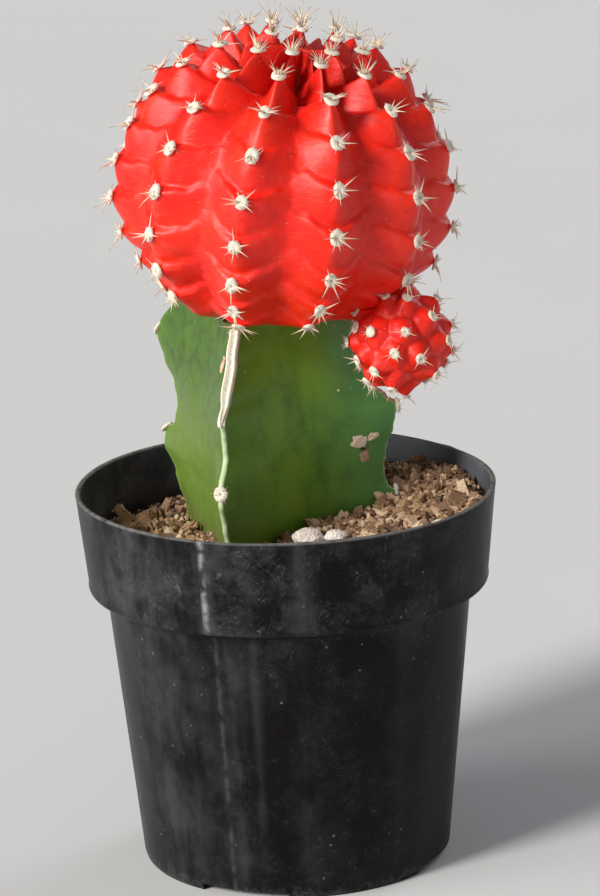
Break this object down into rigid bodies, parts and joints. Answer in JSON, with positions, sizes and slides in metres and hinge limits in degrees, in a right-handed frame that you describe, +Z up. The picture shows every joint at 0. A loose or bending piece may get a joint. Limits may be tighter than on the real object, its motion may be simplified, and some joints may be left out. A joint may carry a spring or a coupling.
{
  "type": "potted moon cactus",
  "caption": "Grafted cactus with a red ribbed globe and a small side globe on a green three-winged stem, in a bark mix in a round tapered nursery pot with a deep collar.",
  "frame": {"origin": "on the axis of the pot, at the surface that the pot's feet stand on", "axes": "+Z up along the pot's axis, -Y towards the front, where one wing of the stem points, +X to the right, where the side globe is"},
  "size_m": [0.065, 0.065, 0.1293],
  "materials": {
    "pot": "black moulded plastic, satin with dust and fine scratches",
    "mix": "coarse dry bark and fibre",
    "bark": "dry splintered bark, matt",
    "pumice": "rough pale pumice",
    "stem": "smooth waxy green skin with a corky cream ridge and small scars",
    "flesh": "smooth waxy red skin, slightly translucent, with woolly cream areoles"
  },
  "bodies": {
    "root": {"pot": "pot", "potting_mix": "mix", "rootstock": "stem", "scion": "flesh", "scion_offset": "flesh", "bark_chip_01": "bark", "bark_chip_02": "bark", "bark_chip_03": "bark", "bark_chip_04": "bark", "bark_chip_05": "bark", "bark_chip_06": "bark", "bark_chip_07": "bark", "bark_chip_08": "bark", "bark_chip_09": "bark", "bark_chip_10": "bark", "bark_chip_11": "bark", "bark_chip_12": "bark", "bark_chip_13": "bark", "bark_chip_14": "bark", "bark_chip_15": "bark", "bark_chip_16": "bark", "bark_chip_17": "bark", "bark_chip_18": "bark", "bark_chip_19": "bark", "bark_chip_20": "bark", "bark_chip_21": "bark", "bark_chip_22": "bark", "pumice_pebble_01": "pumice", "pumice_pebble_02": "pumice", "pumice_pebble_03": "pumice", "pumice_pebble_04": "pumice", "pumice_pebble_05": "pumice"}
  },
  "joints": []
}
